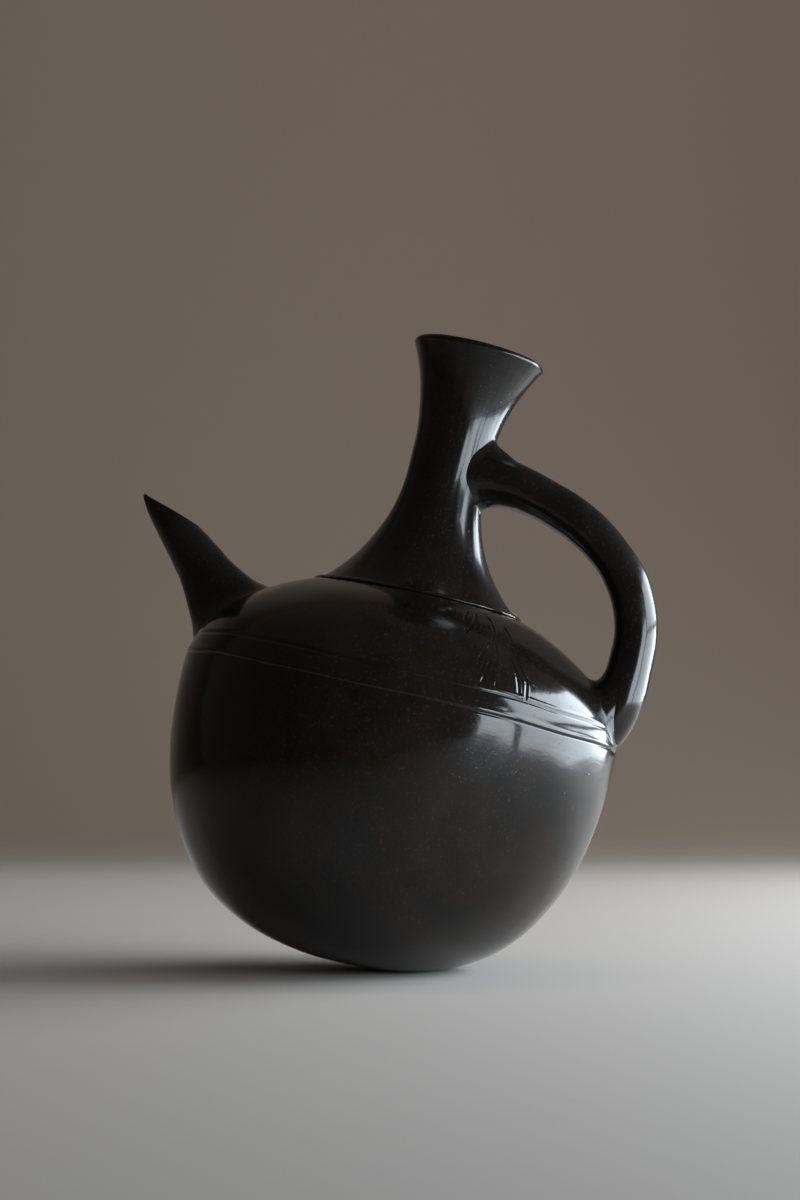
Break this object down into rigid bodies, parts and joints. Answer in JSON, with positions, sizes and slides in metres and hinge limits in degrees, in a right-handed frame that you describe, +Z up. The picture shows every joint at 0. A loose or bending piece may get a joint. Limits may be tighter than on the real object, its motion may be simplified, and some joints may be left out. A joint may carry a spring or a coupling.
{
  "type": "clay pouring pot",
  "caption": "Leaning round-bottomed black clay pouring pot with a trumpet neck, a quill spout and a loop handle.",
  "frame": {"origin": "middle of the worn flat under the bowl, on the surface that the pot stands on", "axes": "+Z up as the pot rests, +X towards the handle; the spout points to -X"},
  "size_m": [0.2088, 0.1741, 0.2504],
  "materials": {
    "belly_clay": "burnished, smoke-fired black with brown clouds",
    "shoulder_clay": "burnished, smoke-fired black",
    "neck_clay": "burnished, smoke-fired black, strokes up the neck",
    "spout_clay": "burnished, smoke-fired black",
    "handle_clay": "burnished, smoke-fired black, polished by the hand"
  },
  "bodies": {
    "root": {"bowl": "belly_clay", "shoulder": "shoulder_clay", "neck": "neck_clay", "lip_coil": "neck_clay", "neck_collar": "shoulder_clay", "spout": "spout_clay", "spout_luting_coil": "spout_clay", "handle": "handle_clay", "handle_top_luting_coil": "handle_clay", "handle_foot_luting_coil": "handle_clay"}
  },
  "joints": []
}
